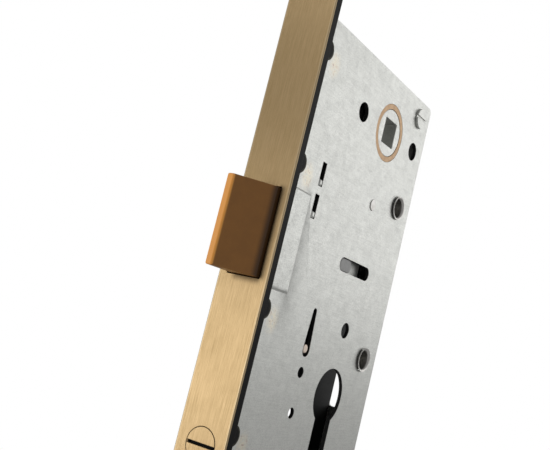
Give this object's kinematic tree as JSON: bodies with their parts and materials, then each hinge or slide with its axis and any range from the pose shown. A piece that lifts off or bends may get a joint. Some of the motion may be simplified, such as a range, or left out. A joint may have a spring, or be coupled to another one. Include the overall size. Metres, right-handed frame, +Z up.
{
  "type": "mortise lock",
  "caption": "Mortise lock case on a long narrow forend, with a sprung bevelled latch, a follower for the handle spindle and a hole for a profile cylinder.",
  "frame": {"origin": "axis of the profile cylinder's hole, half way through the case's thickness", "axes": "+X into the door, away from the forend; +Y across the door, along the cylinder and the spindle, with the cover on the -Y side; +Z up"},
  "size_m": [0.0874, 0.016, 0.196],
  "materials": {
    "antique_brass": "brushed, lacquered",
    "zinc_plate": "zinc plated",
    "steel": "plain",
    "spring_steel": "drawn wire",
    "black_steel": "blackened",
    "brown_nylon": "moulded",
    "grey_nylon": "moulded",
    "bronze": "sintered"
  },
  "bodies": {
    "case": {"forend": "antique_brass", "case_cover": "zinc_plate", "case_tray": "zinc_plate", "tubular_rivets": "steel", "spacer_posts": "steel", "cover_screws": "zinc_plate", "cylinder_screw": "antique_brass", "spring_seat": "steel", "latch_guide": "zinc_plate", "follower_bush_cover": "bronze", "follower_bush_tray": "bronze", "spring_anchor": "steel", "lever_post": "steel", "lever_sleeves": "steel", "slide_pin": "steel", "detent_spring": "spring_steel", "latch_spring": "spring_steel", "follower_spring": "spring_steel"},
    "follower": {"follower_hub": "zinc_plate", "follower_arm": "steel"},
    "lever": {"latch_lever": "zinc_plate", "lever_bush": "bronze"},
    "latch": {"latch_head": "brown_nylon", "latch_tail": "zinc_plate", "latch_rivets": "steel", "tail_shoe": "grey_nylon"},
    "slide": {"deadlock_slide": "black_steel", "deadlock_peg": "bronze"}
  },
  "joints": [
    {"name": "follower_turn", "type": "hinge", "parent": "case", "child": "follower", "pos_m": [0, 0, 0.085], "axis": [0, 1, 0], "range_deg": [0, 35], "stiffness_Nm_per_rad": 0.5, "springref_deg": -17.19, "deforming": ["follower_spring"]},
    {"name": "lever_turn", "type": "hinge", "parent": "case", "child": "lever", "pos_m": [0, 0, 0.061], "axis": [0, 1, 0], "range_deg": [-35, 0]},
    {"name": "latch_slide", "type": "slide", "parent": "case", "child": "latch", "axis": [1, 0, 0], "range_m": [0, 0.0106], "deforming": ["latch_spring"]},
    {"name": "deadlock_lift", "type": "slide", "parent": "case", "child": "slide", "axis": [0, 0, 1], "range_m": [0, 0.0055]}
  ],
  "couplings": [
    {"joint": "lever_turn", "follows": "follower_turn", "ratio": -1},
    {"joint": "latch_slide", "follows": "follower_turn", "m_per_rad": 0.017189}
  ]
}
